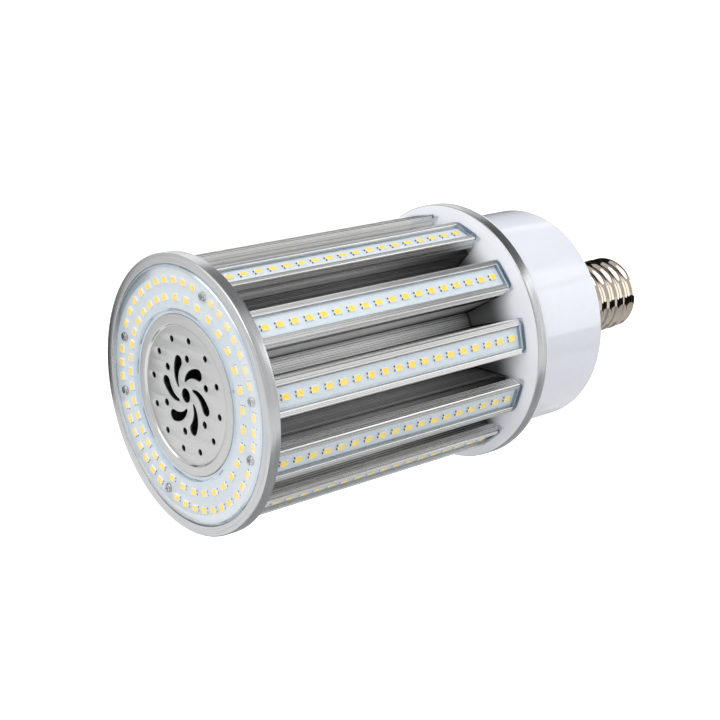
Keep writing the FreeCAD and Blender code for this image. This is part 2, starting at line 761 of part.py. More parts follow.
# Driver housing: a moulded cup that closes to a neck under the screw cap
lip_end = housing_start + housing_lip_thick
inner_radius = housing_radius - housing_wall
housing = new_body("driver_housing")
turned(housing, "housing_turned", [
    (housing_start, housing_lip_radius),
    (lip_end, housing_lip_radius),
    (lip_end, housing_radius),
    (housing_back - housing_bevel, housing_radius),
    (housing_back, housing_radius - housing_bevel),
    (shoulder_end, shoulder_radius),
    (neck_start, neck_start_radius),
    (cap_rim, neck_end_radius),
    (cap_rim, spigot_radius),
    (cap_rim + spigot_length, spigot_radius),
    (cap_rim + spigot_length, spigot_radius - spigot_wall),
    (cap_rim - housing_wall, spigot_radius - spigot_wall),
    (neck_start - housing_wall, neck_start_radius - housing_wall),
    (shoulder_end - housing_wall, shoulder_radius - housing_wall),
    (housing_back - housing_wall, inner_radius),
    (housing_start, inner_radius)])

# Screw cap: shell, insulator and centre contact. The shell is as wide as its thread's crests
collar_end = cap_rim + shell_collar_length
taper_start = shell_end - shell_taper_length
crest_step = shell_crest_radius - shell_collar_radius
cap_shell = new_body("screw_shell")
turned(cap_shell, "shell_tube", [
    (cap_rim, shell_collar_radius),
    (collar_end, shell_collar_radius),
    (collar_end + crest_step * 2, shell_crest_radius),
    (taper_start, shell_crest_radius),
    (shell_end, shell_end_radius),
    (shell_end, shell_hole_radius),
    (shell_end - shell_wall, shell_hole_radius),
    (shell_end - shell_wall, shell_end_radius - shell_wall),
    (taper_start - shell_wall, shell_root_radius - shell_wall),
    (collar_end + shell_wall, shell_root_radius - shell_wall),
    (collar_end - shell_wall, shell_collar_radius - shell_wall),
    (cap_rim, shell_collar_radius - shell_wall)])

insulator = new_body("cap_insulator")
insulator_seat = shell_end - shell_wall
insulator_front = insulator_seat - spigot_wall
insulator_back = shell_end + insulator_length
turned(insulator, "insulator_turned", [
    (insulator_front, insulator_bore),
    (insulator_front, insulator_front_radius),
    (insulator_seat, insulator_front_radius),
    (insulator_seat, shell_hole_radius - seat_gap),
    (shell_end, shell_hole_radius - seat_gap),
    (shell_end, insulator_foot_radius),
    (shell_end + insulator_length * half, insulator_foot_radius - shell_wall),
    (insulator_back, insulator_back_radius),
    (insulator_back, insulator_bore)])

contact = new_body("centre_contact")
turned(contact, "contact_turned", [
    (insulator_back, nothing),
    (insulator_back, contact_radius),
    (insulator_back + contact_thick * half, contact_radius),
    (insulator_back + contact_thick, contact_tip_radius),
    (insulator_back + contact_thick, nothing)])

# Driver: a round board with its large components, and the leads to the cap
driver_front = driver_board_start + driver_board_thick


def component_sketch(body, name):
    return new_sketch(body, "YZ_Plane", name, driver_front)


driver_board = new_body("driver_board")
outline = new_sketch(driver_board, "YZ_Plane", "driver_board_outline", driver_board_start)
draw_circle(outline, 0, 0, driver_board_radius)
draw_circle(outline, 0, 0, driver_board_hole)
padded(driver_board, "driver_board_sheet", outline, driver_board_thick)

transformer = new_body("driver_transformer")
outline = component_sketch(transformer, "transformer_outline")
draw_outline(outline, [
    (-transformer_wide * half, component_offset - transformer_high * half),
    (transformer_wide * half, component_offset - transformer_high * half),
    (transformer_wide * half, component_offset + transformer_high * half),
    (-transformer_wide * half, component_offset + transformer_high * half)])
padded(transformer, "transformer_block", outline, transformer_deep)

capacitors = new_body("driver_capacitors")
outline = component_sketch(capacitors, "capacitor_outline")
draw_circle(outline, component_offset, -capacitor_radius, capacitor_radius)
draw_circle(outline, component_offset * half, -component_offset - capacitor_radius * half,
            capacitor_radius)
padded(capacitors, "capacitor_cans", outline, capacitor_length)

choke = new_body("driver_choke")
outline = component_sketch(choke, "choke_outline")
draw_circle(outline, -component_offset, -capacitor_radius, choke_radius)
draw_circle(outline, -component_offset, -capacitor_radius, choke_radius - choke_section * 1.5)
padded(choke, "choke_ring", outline, choke_section * 2)

leads = new_body("cap_leads")
outline = component_sketch(leads, "centre_lead_outline")
draw_circle(outline, 0, 0, lead_radius)
padded(leads, "centre_lead", outline, insulator_back - driver_front)
outline = component_sketch(leads, "side_lead_outline")
draw_circle(outline, 0, -side_lead_offset, lead_radius)
padded(leads, "side_lead", outline, insulator_seat - shell_wall - driver_front)

doc.recompute()


def failed(item):
    return any(word in item.State for word in ("Invalid", "Error"))


for item in doc.Objects:
    if failed(item):
        raise RuntimeError("%s did not compute: %s" % (item.Label, item.State))

os.makedirs("parts", exist_ok=True)
for body in doc.Objects:
    if body.TypeId != "PartDesign::Body":
        continue
    if body.Shape.isNull() or not body.Shape.isValid() or not body.Shape.Solids:
        raise RuntimeError(body.Label + " has no valid solid")
    body.Shape.exportStep(os.path.join("parts", body.Label + ".step"))
    print("%-20s solids %3d volume %10.1f" % (
        body.Label, len(body.Shape.Solids), body.Shape.Volume))
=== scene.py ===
import math

import bmesh
import bpy
from mathutils import Matrix, Vector


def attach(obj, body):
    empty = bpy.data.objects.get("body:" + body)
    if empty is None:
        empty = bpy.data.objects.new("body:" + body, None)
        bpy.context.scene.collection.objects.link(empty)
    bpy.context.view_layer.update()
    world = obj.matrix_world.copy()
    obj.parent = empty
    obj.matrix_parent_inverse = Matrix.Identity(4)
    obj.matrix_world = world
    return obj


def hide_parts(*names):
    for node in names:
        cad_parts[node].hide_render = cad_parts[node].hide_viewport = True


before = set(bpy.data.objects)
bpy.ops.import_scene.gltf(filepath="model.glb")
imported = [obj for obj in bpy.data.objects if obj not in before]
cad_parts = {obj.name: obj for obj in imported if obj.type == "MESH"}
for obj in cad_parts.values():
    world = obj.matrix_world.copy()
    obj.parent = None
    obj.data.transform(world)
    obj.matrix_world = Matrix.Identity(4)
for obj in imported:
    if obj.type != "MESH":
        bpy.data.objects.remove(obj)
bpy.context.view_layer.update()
scene = bpy.context.scene


# Sizes, in millimetres and degrees. Stations count from the front face towards the cap and
# radii from the axis. The scene is in metres, with its origin at the cap's rim.

MM = 0.001
RIM = 247.0
PHASE = 18.5
ARMS = 12
ARM_STEP = 360 / ARMS

BEZEL_RADIUS = 64.4
BEZEL_DEPTH = 6.0
BEZEL_BORE = 61.9
BEZEL_WINDOW = 59.6
BEZEL_LIP = 0.6

BOARD_FRONT = 1.4
BOARD_RADIUS = 61.5
BOARD_BORE = 37.2

LENS_FRONT = -1.2
LENS_SEAT = 0.62
LENS_WINDOW = 59.3
LENS_KNEE = (-0.55, 58.2)
LENS_SHOULDER = 54.0
LENS_RIM_INSIDE = 58.1
LENS_BORE = 38.4
LENS_WALL_OUTSIDE = 39.6
# radii between which the lens changes its look: wall, plain front, shoulder, lip
LENS_WALL_MARK = 39.0
LENS_SHOULDER_MARK = 54.2
LENS_LIP_MARK = 58.9

SCREW_ARMS = (0, 2, 3, 6, 8, 9)
SCREW_TILTS = (10, 52, 33, 71, 25, 40)
SCREW_CIRCLE = 51.6
SCREW_HOLE = 1.6
SCREW_HEAD = 1.85
SCREW_WASHER = 2.2
CROSS_HALF = 0.28
CROSS_REACH = 1.25

DIODE_LONG = 3.7
DIODE_WIDE = 3.0
DIODE_HIGH = 0.8
WINDOW_LONG = 3.3
WINDOW_WIDE = 2.6
FACE_PAD_HIGH = 0.12
BAR_PAD_HIGH = 0.5
OUTER_RING = 52.4
INNER_RING = 44.7
# outer diodes between two screws, by how many arms the screws are apart
OUTER_FILLS = {1: 3, 2: 7, 3: 10}
# first angle, step and count of the inner ring's two runs
INNER_RUNS = ((72.6, 11.25, 20), (297.6, 9, 15))

DISC_RADIUS = 37.1
DISC_SKIRT = 36.2
DISC_FRONT = 0.8
PLATE_RADIUS = 31.5
PLATE_FRONT = 1.6
PLATE_BACK = 2.5
STEP_OUTSIDE = 32.6
STEP_INSIDE = 31.8
STEP_MARKS = (31.7, 32.7)
CENTRE_HOLE = 3.3
# radius, distance from the axis, first angle and count of the round vents
ROUND_VENTS = ((1.7, 17.4, 35.6, 6), (1.5, 26.1, 7.6, 12))
SWIRLS = 6
SWIRL_START = 29.0
SWIRL_SWEEP = 42.0
SWIRL_LEAN = 52.0
SWIRL_RADII = (6.9, 15.7)
SWIRL_HALF_WIDTHS = (0.75, 2.75)

STAR_FRONT = 3.0
STAR_END = 152.4
CORE_BORE = 34.5
VALLEY_RADIUS = 37.1
VALLEY_RIBS = 7
VALLEY_RISE = 0.6
VALLEY_START = 9.3
VALLEY_SPAN = 11.4
ARM_FOOT = (5.8, 37.4)
ARM_TOP = (7.4, 49.8)
ARM_RIBS = 12
RIB_DEPTH = 0.5
NECK_FOOT = 50.8
NECK_HALF = 4.7
HEAD_FOOT = 54.6
HEAD_HALF = 8.25
HEAD_TOP = 60.3
HEAD_BEVEL = 0.25
# radius beyond which the heads take the lighter copy of the heat sink's aluminium, painted
# light
HEAD_MARK = 54.3
SIDE_GROOVES = 5
SIDE_GROOVE_START = 55.15
SIDE_GROOVE_PITCH = 0.95
SIDE_GROOVE_DEPTH = 0.3
TOP_GROOVES = 2
TOP_GROOVE_START = 7.45
TOP_GROOVE_PITCH = 0.8
TOP_GROOVE_DEPTH = 0.2
LIP_HALF = 5.4
LIP_FOOT = 58.9
SLOT_HALF = 6.6
BAR_SEAT = 56.85

BAR_BOARD_TOP = 58.45
BAR_LEDS = 18
FIRST_LED = 13.4
LED_PITCH = 7.9
COVER_FRONT = 3.2
COVER_HALF = 5.2
COVER_INSIDE = 4.4
COVER_TOP = 60.95
COVER_CEILING = 60.15
COVER_END = 155.3
COVER_END_HALF = 7.9
COVER_END_FOOT = 58.5
COVER_END_TOP = 60.3

COLLAR_FRONT = 143.0
COLLAR_INSIDE = 37.4
COLLAR_EDGE = 38.4
FLANGE_RADIUS = 64.3
FLANGE_FLOOR = 155.4
FLANGE_FLOOR_RADIUS = 46.0
FLANGE_BACK = 165.6
FLANGE_HUB = 62.3
FLANGE_BORE = 57.5
FLANGE_LIP = 0.3
POCKET_FRONT = 140.0
POCKET_FOOT = (6.1, 30.0)
POCKET_NECK = (7.7, 50.9)
POCKET_SHOULDER = 54.4
POCKET_HALF = 8.5
POCKET_TOP = 61.7
POCKET_SEAT = 56.5
POCKET_END = 156.4

TRIM_FRONT = 159.6
TRIM_BACK = 165.4
TRIM_BORE = 62.35
TRIM_RADIUS = 64.8

HOUSING_PLATE = 64.0
HOUSING_PLATE_BACK = 167.5
HOUSING_RADIUS = 54.75
HOUSING_WALL = 2.5
HOUSING_MOUTH = 19.4
# stations and radii of the cone, outside and inside
CONE_OUTSIDE = ((215.7, HOUSING_RADIUS), (219.5, 47.0), (238.0, 24.5))
CONE_INSIDE = ((235.5, 22.0), (217.0, 44.5), (213.2, HOUSING_RADIUS - HOUSING_WALL))
SPIGOT_RADIUS = 17.1
SPIGOT_BORE = 15.9
SPIGOT_END = 257.0

SHELL_LENGTH = 37.0
SHELL_ROOT = 17.95
SHELL_CREST = 19.6
SHELL_COLLAR = 19.35
SHELL_NOSE = 15.0
THREAD_PITCH = 6.35
THREAD_START = 253.5
THREAD_TURNS = 4.5
COLLAR_END = 252.2
COLLAR_FADE = 1.7
NOSE_START = 282.1
NOSE_LENGTH = 1.9
SHELL_MOUTH = 12.0
SHELL_MOUTH_FOOT = 283.2
SHELL_BORE = 17.15
SHELL_COLLAR_BORE = 18.55
INSULATOR_FOOT = 281.2
INSULATOR_FOOT_RADIUS = 13.2
INSULATOR_NECK = 11.95
INSULATOR_RADIUS = 14.4
INSULATOR_BORE = 1.4
INSULATOR_END = 290.3
CONTACT_RADIUS = 8.6
CONTACT_TIP = 4.5
CONTACT_STEP = 1.0
CONTACT_END = 292.3


# Shapes

def at(station, y, z):
    return ((station - RIM) * MM, y * MM, z * MM)


def turned(y, z, degrees):
    c, s = math.cos(math.radians(degrees)), math.sin(math.radians(degrees))
    return y * c - z * s, y * s + z * c


def mirrored(half):
    """A closed outline from its right half."""
    return half + [(-y, z) for y, z in reversed(half)]


def soften(path, rounds, steps=6):
    """Rounds the named corners of a closed path: rounds is {index: radius}."""
    out = []
    for index, point in enumerate(path):
        radius = rounds.get(index)
        if not radius:
            out.append(point)
            continue
        corner = Vector(point)
        back = (Vector(path[index - 1]) - corner).normalized()
        ahead = (Vector(path[(index + 1) % len(path)]) - corner).normalized()
        half_turn = back.angle(ahead) / 2
        reach = radius / math.tan(half_turn)
        centre = corner + (back + ahead).normalized() * (radius / math.sin(half_turn))
        start = corner + back * reach - centre
        end = corner + ahead * reach - centre
        sweep = start.angle_signed(end)
        for step in range(steps + 1):
            ray = start.copy()
            ray.rotate(Matrix.Rotation(-sweep * step / steps, 2))
            out.append(tuple(centre + ray))
    return out


def circle(radius, y=0.0, z=0.0, count=48):
    return [(y + radius * math.cos(2 * math.pi * k / count),
             z + radius * math.sin(2 * math.pi * k / count)) for k in range(count)]


def ring_at(station, radius, segments):
    points = []
    for k in range(segments):
        angle = 2 * math.pi * k / segments
        points.append(at(station, radius * math.cos(angle), radius * math.sin(angle)))
    return points


def lathe(profile, segments=288):
    """Vertices and faces of a closed (station, radius) profile turned about the axis."""
    verts, faces, rings = [], [], []
    for station, radius in profile:
        if radius < 1e-6:
            rings.append([len(verts)] * segments)
            verts.append(at(station, 0, 0))
            continue
        rings.append(list(range(len(verts), len(verts) + segments)))
        verts.extend(ring_at(station, radius, segments))
    for i, ring in enumerate(rings):
        after = rings[(i + 1) % len(rings)]
        for k in range(segments):
            n = (k + 1) % segments
            face = []
            for v in (ring[k], ring[n], after[n], after[k]):
                if v not in face:
                    face.append(v)
            if len(face) > 2:
                faces.append(face)
    return verts, faces


def prism(near, far):
    """Vertices and faces between two like loops, with both ends closed."""
    count = len(near)
    faces = [list(range(count)), list(range(2 * count - 1, count - 1, -1))]
    faces += [[i, (i + 1) % count, count + (i + 1) % count, count + i] for i in range(count)]
    return near + far, faces


def filled(loops, start, end, edge=0.0):
    """A mesh of flat (y, z) loops, inner ones as holes, extruded between two stations."""
    curve = bpy.data.curves.new("loops", "CURVE")
    curve.dimensions = "2D"
    curve.fill_mode = "BOTH"
    curve.extrude = ((end - start) / 2 - edge) * MM
    curve.bevel_depth = edge * MM
    curve.bevel_resolution = 1
    curve.offset = -edge * MM
    for loop in loops:
        spline = curve.splines.new("POLY")
        spline.points.add(len(loop) - 1)
        for point, (y, z) in zip(spline.points, loop):
            point.co = (y * MM, z * MM, 0, 1)
        spline.use_cyclic_u = True
    obj = bpy.data.objects.new("loops", curve)
    scene.collection.objects.link(obj)
    graph = bpy.context.evaluated_depsgraph_get()
    mesh = bpy.data.meshes.new_from_object(obj.evaluated_get(graph))
    bpy.data.objects.remove(obj)
    middle = ((start + end) / 2 - RIM) * MM
    mesh.transform(Matrix(((0, 0, 1, middle), (1, 0, 0, 0), (0, 1, 0, 0), (0, 0, 0, 1))))
    return mesh


def as_lists(mesh):
    return ([tuple(v.co) for v in mesh.vertices], [list(p.vertices) for p in mesh.polygons],
            [0] * len(mesh.polygons))


def merged(parts):
    """Joins (verts, faces, material number per face) lists into one."""
    verts, faces, indices = [], [], []
    for v, f, m in parts:
        base = len(verts)
        verts.extend(v)
        faces.extend([[i + base for i in face] for face in f])
        indices.extend(m)
    return verts, faces, indices


def mean_radii(verts, faces):
    """The mean distance of each face's corners from the axis, in metres."""
    return [sum(math.hypot(verts[i][1], verts[i][2]) for i in face) / len(face)
            for face in faces]


def face_outward(mesh, weld=False):
    """Turns all faces of a mesh outward. With weld, corners on one spot are joined first."""
    shape = bmesh.new()
    shape.from_mesh(mesh)
    if weld:
        bmesh.ops.remove_doubles(shape, verts=shape.verts, dist=1e-7)
    bmesh.ops.recalc_face_normals(shape, faces=shape.faces)
    shape.to_mesh(mesh)
    shape.free()


def dress(name, mesh, looks, replaces, indices=None, sharp=32):
    """Makes a mesh a piece of the lamp that rides on its one body."""
    for material in looks:
        mesh.materials.append(material)
    if indices:
        mesh.polygons.foreach_set("material_index", indices)
    face_outward(mesh, weld=True)
    mesh.shade_smooth()
    mesh.set_sharp_from_angle(angle=math.radians(sharp))
    obj = bpy.data.objects.new(name, mesh)
    scene.collection.objects.link(obj)
    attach(obj, "root")
    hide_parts(*replaces)
    return obj


def piece(name, verts, faces, looks, slot, replaces, indices=None, sharp=32):
    mesh = bpy.data.meshes.new(name)
    mesh.from_pydata(verts, [], faces)
    return dress(name, mesh, looks, replaces, indices, sharp)


def cut(obj, parts, sharp=30):
    """Takes the given solids out of obj, one boolean for each."""
    for verts, faces in parts:
        mesh = bpy.data.meshes.new("tool")
        mesh.from_pydata(verts, [], faces)
        face_outward(mesh)
        tool = bpy.data.objects.new("tool", mesh)
        scene.collection.objects.link(tool)
        modifier = obj.modifiers.new("cut", "BOOLEAN")
        modifier.operation = "DIFFERENCE"
        modifier.solver = "EXACT"
        modifier.object = tool
        graph = bpy.context.evaluated_depsgraph_get()
        result = bpy.data.meshes.new_from_object(obj.evaluated_get(graph))
        obj.modifiers.clear()
        old = obj.data
        obj.data = result
        bpy.data.meshes.remove(old)
        bpy.data.objects.remove(tool)
    obj.data.shade_smooth()
    obj.data.set_sharp_from_angle(angle=math.radians(sharp))


# Nodes of the looks

BUMP_DISTANCE = 2e-5


def parts_of(material):
    nodes, links = material.node_tree.nodes, material.node_tree.links
    return nodes, links, nodes["Principled BSDF"]


def look(name):
    made = bpy.data.materials.new(name)
    made.use_nodes = True
    return made, *parts_of(made)


def math_node(nodes, links, operation, a, b=None):
    node = nodes.new("ShaderNodeMath")
    node.operation = operation
    for socket, value in zip(node.inputs, (a, b)):
        if value is None:
            continue
        if isinstance(value, (int, float)):
            socket.default_value = value
        else:
            links.new(value, socket)
    return node.outputs[0]


def placed(nodes, links):
    """Sockets for X, Y, Z and the distance from the axis, in metres."""
    split = nodes.new("ShaderNodeSeparateXYZ")
    links.new(nodes.new("ShaderNodeTexCoord").outputs["Object"], split.inputs[0])
    x, y, z = split.outputs
    square = math_node(nodes, links, "ADD",
                       math_node(nodes, links, "MULTIPLY", y, y),
                       math_node(nodes, links, "MULTIPLY", z, z))
    return x, y, z, math_node(nodes, links, "SQRT", square)


def grain(nodes, links, scales, around=False):
    """Stretched noise: scales are per metre along X, Y and Z, or X, radius and angle."""
    x, y, z, radius = placed(nodes, links)
    if around:
        y, z = radius, math_node(nodes, links, "ARCTAN2", z, y)
    joined = nodes.new("ShaderNodeCombineXYZ")
    for socket, value, scale in zip(joined.inputs, (x, y, z), scales):
        links.new(math_node(nodes, links, "MULTIPLY", value, scale), socket)
    noise = nodes.new("ShaderNodeTexNoise")
    noise.inputs["Scale"].default_value = 1.0
    noise.inputs["Detail"].default_value = 3.0
    links.new(joined.outputs[0], noise.inputs["Vector"])
    return noise.outputs["Fac"]


def stretch(nodes, links, value, start, end, low, high):
    """Maps a value smoothly from one span to another, held at both ends."""
    node = nodes.new("ShaderNodeMapRange")
    node.interpolation_type = "SMOOTHSTEP"
    for name, number in (("From Min", start), ("From Max", end), ("To Min", low),
                         ("To Max", high)):
        node.inputs[name].default_value = number
    links.new(value, node.inputs["Value"])
    return node.outputs[0]


def shaded(nodes, links, bsdf, share):
    """Multiplies the base colour by a share that depends on the place on the object."""
    link = bsdf.inputs["Base Color"].links[0]
    scale = nodes.new("ShaderNodeVectorMath")
    scale.operation = "SCALE"
    links.new(link.from_socket, scale.inputs[0])
    links.new(share, scale.inputs["Scale"])
    links.new(scale.outputs[0], bsdf.inputs["Base Color"])


def ramp(nodes, links, fac, low, high):
    node = nodes.new("ShaderNodeValToRGB")
    for element, position, colour in zip(node.color_ramp.elements, (0.3, 0.7), (low, high)):
        element.position = position
        element.color = (*colour, 1)
    links.new(fac, node.inputs[0])
    return node.outputs["Color"]


def bump(nodes, links, bsdf, fac, strength):
    node = nodes.new("ShaderNodeBump")
    node.inputs["Strength"].default_value = strength
    node.inputs["Distance"].default_value = BUMP_DISTANCE
    links.new(fac, node.inputs["Height"])
    links.new(node.outputs["Normal"], bsdf.inputs["Normal"])


def metal(name, low, high, rough, scales, around=False, aniso=0.0, strength=0.25):
    made, nodes, links, bsdf = look(name)
    fac = grain(nodes, links, scales, around)
    links.new(ramp(nodes, links, fac, low, high), bsdf.inputs["Base Color"])
    bsdf.inputs["Metallic"].default_value = 1.0
    span = nodes.new("ShaderNodeMapRange")
    span.inputs["To Min"].default_value = rough[0]
    span.inputs["To Max"].default_value = rough[1]
    links.new(fac, span.inputs["Value"])
    links.new(span.outputs[0], bsdf.inputs["Roughness"])
    if aniso:
        bsdf.inputs["Anisotropic"].default_value = aniso
        tangent = nodes.new("ShaderNodeTangent")
        tangent.direction_type = "RADIAL"
        tangent.axis = "X"
        links.new(tangent.outputs[0], bsdf.inputs["Tangent"])
    bump(nodes, links, bsdf, fac, strength)
    return made


def plastic(name, low, high, rough, scales=(300, 300, 300), strength=0.05, glow=0.0,
            specular=0.5):
    made, nodes, links, bsdf = look(name)
    fac = grain(nodes, links, scales)
    colour = ramp(nodes, links, fac, low, high)
    links.new(colour, bsdf.inputs["Base Color"])
    bsdf.inputs["Roughness"].default_value = rough
    bsdf.inputs["Specular IOR Level"].default_value = specular
    if glow:
        links.new(colour, bsdf.inputs["Emission Color"])
        bsdf.inputs["Emission Strength"].default_value = glow
    bump(nodes, links, bsdf, fac, strength)
    return made


def clear(name, tint, rough=0.04, ior=1.45, least=0.0):
    """Thin clear plastic: see-through with a mirror sheen that grows at a slant."""
    made, nodes, links, bsdf = look(name)
    nodes.remove(bsdf)
    fac = grain(nodes, links, (220, 220, 220))
    through = nodes.new("ShaderNodeBsdfTransparent")
    links.new(ramp(nodes, links, fac, tint, [min(1.0, c * 1.02) for c in tint]),
              through.inputs["Color"])
    sheen = nodes.new("ShaderNodeBsdfGlossy")
    sheen.inputs["Roughness"].default_value = rough
    fresnel = nodes.new("ShaderNodeFresnel")
    fresnel.inputs["IOR"].default_value = ior
    side = nodes.new("ShaderNodeNewGeometry").outputs["Backfacing"]
    front = math_node(nodes, links, "SUBTRACT", 1.0, side)
    slant = math_node(nodes, links, "ADD", fresnel.outputs[0], least)
    share = math_node(nodes, links, "MULTIPLY", slant, front)
    mix = nodes.new("ShaderNodeMixShader")
    links.new(share, mix.inputs[0])
    links.new(through.outputs[0], mix.inputs[1])
    links.new(sheen.outputs[0], mix.inputs[2])
    links.new(mix.outputs[0], nodes["Material Output"].inputs["Surface"])
    return made


# Looks

ring_metal = metal("ring_metal", (0.33, 0.335, 0.34), (0.50, 0.505, 0.51), (0.18, 0.30),
                   (5200, 5200, 2.5), around=True, aniso=0.55)
disc_metal = metal("disc_metal", (0.44, 0.445, 0.44), (0.50, 0.505, 0.50), (0.42, 0.52),
                   (2600, 2600, 2.0), around=True, aniso=0.3, strength=0.2)
# The step ring takes a lighter, shinier copy of the disc's aluminium for the glint along it:
# its lighter colour is a painted highlight.
step_metal = metal("step_metal", (0.46, 0.46, 0.455), (0.54, 0.54, 0.535), (0.14, 0.20),
                   (2600, 2600, 2.0), around=True, strength=0.05)
# The heat sink's one aluminium in two copies, darker on the arms and valleys and lighter on the
# heads: painted shade and painted light.
shaded_star_metal = metal("shaded_star_metal", (0.28, 0.28, 0.285), (0.66, 0.66, 0.66), (0.34, 0.46),
                   (2, 2600, 2600), strength=0.04)
lit_channel_metal = metal("lit_channel_metal", (0.46, 0.46, 0.46), (0.84, 0.84, 0.83), (0.20, 0.32),
                      (2, 3000, 3000), strength=0.04)
screw_metal = metal("screw_metal", (0.14, 0.14, 0.145), (0.50, 0.50, 0.50), (0.14, 0.26),
                    (900, 900, 900))
nickel = metal("nickel", (0.40, 0.35, 0.30), (0.46, 0.41, 0.355), (0.04, 0.07),
               (2400, 2400, 1.5), around=True, strength=0.05)
contact_metal = metal("contact_metal", (0.42, 0.42, 0.41), (0.55, 0.55, 0.53), (0.3, 0.5),
                      (700, 700, 700))
solder = metal("solder", (0.05, 0.05, 0.055), (0.14, 0.14, 0.15), (0.3, 0.5),
               (3000, 3000, 3000))

white_plastic = plastic("white_plastic", (0.80, 0.825, 0.885), (0.82, 0.845, 0.905), 0.1,
                        specular=0.32)
flange_white = plastic("flange_white", (0.83, 0.85, 0.90), (0.85, 0.87, 0.92), 0.3)
board_white = plastic("board_white", (0.76, 0.825, 0.885), (0.81, 0.87, 0.93), 0.4,
                      (260, 900, 900), 0.1)
# The diodes' white body and yellow window glow a little though the diodes are off: painted
# light.
led_white = plastic("led_white", (0.86, 0.86, 0.84), (0.90, 0.90, 0.88), 0.4,
                    (900, 900, 900), 0.05, 0.12)
led_yellow = plastic("led_yellow", (0.98, 0.62, 0.05), (1.0, 0.76, 0.12), 0.42,
                     (900, 900, 900), 0.1, 0.22)
black_glass = plastic("black_glass", (0.015, 0.015, 0.016), (0.03, 0.03, 0.032), 0.18)

clear_lens = clear("clear_lens", (0.975, 0.985, 0.99))
# clear_wall's darker tint on the lens's inner wall and outer lip is painted shade, standing in
# for the dark rings that refraction gives there.
clear_wall = clear("clear_wall", (0.84, 0.88, 0.92))
clear_shoulder = clear("clear_shoulder", (0.92, 0.94, 0.955), rough=0.14, least=0.26)
clear_cover = clear("clear_cover", (0.975, 0.985, 0.99), rough=0.05)
# clear_end's dark tint is painted shade, standing in for the dark look of the cover ends at the
# flange.
clear_end = clear("clear_end", (0.34, 0.40, 0.46), rough=0.05, ior=1.6)

inner_looks = {
    "driver_board": plastic("laminate", (0.05, 0.20, 0.09), (0.07, 0.26, 0.12), 0.5),
    "driver_transformer": plastic("tape", (0.03, 0.03, 0.03), (0.06, 0.055, 0.05), 0.55),
    "driver_capacitors": plastic("sleeve", (0.02, 0.025, 0.05), (0.03, 0.035, 0.07), 0.3),
    "driver_choke": plastic("ferrite", (0.06, 0.14, 0.07), (0.09, 0.19, 0.10), 0.5),
    "cap_leads": plastic("lead", (0.45, 0.02, 0.015), (0.55, 0.03, 0.02), 0.45),
}
DIODE_LOOKS = [led_white, led_yellow, solder]


# Shade painted by place on the object: it stays under any light

def shade_star():
    """Painted shade and light: the star darkens towards the flange and in the grooves between
    its ribs, and its rib crests are lighter.
    """
    shade_start, shade_end, shade_least = -0.175, -0.095, 0.35
    crest, groove = 1.45, 0.7
    nodes, links, bsdf = parts_of(shaded_star_metal)
    x, y, z, radius = placed(nodes, links)
    shaded(nodes, links, bsdf,
           stretch(nodes, links, x, shade_start, shade_end, 1.0, shade_least))
    # one wave of the radius for each rib
    wave = math_node(nodes, links, "MULTIPLY",
                     math_node(nodes, links, "SUBTRACT", radius, ARM_FOOT[1] * MM),
                     2 * math.pi * ARM_RIBS / ((ARM_TOP[1] - ARM_FOOT[1]) * MM))
    level = math_node(nodes, links, "COSINE", wave)
    shaded(nodes, links, bsdf, stretch(nodes, links, level, -1, 1, crest, groove))


def shade_flange():
    """The flange darkens from its edge in to the core."""
    shade_start, shade_end, shade_least = 0.047, 0.0585, 0.08
    nodes, links, bsdf = parts_of(flange_white)
    x, y, z, radius = placed(nodes, links)
    shaded(nodes, links, bsdf,
           stretch(nodes, links, radius, shade_start, shade_end, shade_least, 1.0))


shade_star()
shade_flange()


# Bezel ring and lens

bezel = soften([(0, BEZEL_WINDOW), (0, BEZEL_RADIUS), (BEZEL_DEPTH, BEZEL_RADIUS),
                (BEZEL_DEPTH, BEZEL_BORE), (BEZEL_LIP, BEZEL_BORE), (BEZEL_LIP, BEZEL_WINDOW)],
               {0: 0.25, 1: 0.8, 2: 0.35, 3: 0.3, 5: 0.2})
piece("bezel_ring_look", *lathe(bezel, 384), [ring_metal], "brushed_aluminium", ["bezel_ring"])

lens = soften([(BOARD_FRONT, BOARD_RADIUS), (LENS_SEAT, BOARD_RADIUS), (LENS_SEAT, LENS_WINDOW),
               (0.1, LENS_WINDOW), LENS_KNEE, (LENS_FRONT, LENS_SHOULDER),
               (LENS_FRONT, LENS_BORE), (BOARD_FRONT, LENS_BORE),
               (BOARD_FRONT, LENS_WALL_OUTSIDE), (0.0, LENS_WALL_OUTSIDE),
               (0.0, LENS_RIM_INSIDE), (BOARD_FRONT, LENS_RIM_INSIDE)],
              {1: 0.2, 3: 0.3, 4: 1.6, 5: 6.0, 6: 1.0, 9: 0.5, 10: 0.8})
verts, faces = lathe(lens, 384)
# the wall and the lip take clear_wall, whose darker tint is painted shade
marks = []
for middle in mean_radii(verts, faces):
    if middle < LENS_WALL_MARK * MM or middle > LENS_LIP_MARK * MM:
        marks.append(1)
    elif middle > LENS_SHOULDER_MARK * MM:
        marks.append(2)
    else:
        marks.append(0)
piece("face_lens_look", verts, faces, [clear_lens, clear_wall, clear_shoulder],
      "clear_plastic", ["face_lens"], marks)


# Ring board

screw_places = [turned(0, SCREW_CIRCLE, PHASE + ARM_STEP * arm) for arm in SCREW_ARMS]
board_loops = [circle(BOARD_RADIUS, count=256), circle(BOARD_BORE, count=256)]
board_loops += [circle(SCREW_HOLE, y, z, 24) for y, z in screw_places]
dress("face_board_look", filled(board_loops, BOARD_FRONT, STAR_FRONT, 0.08), [board_white],
      ["face_board"])


# Diodes of the ring board

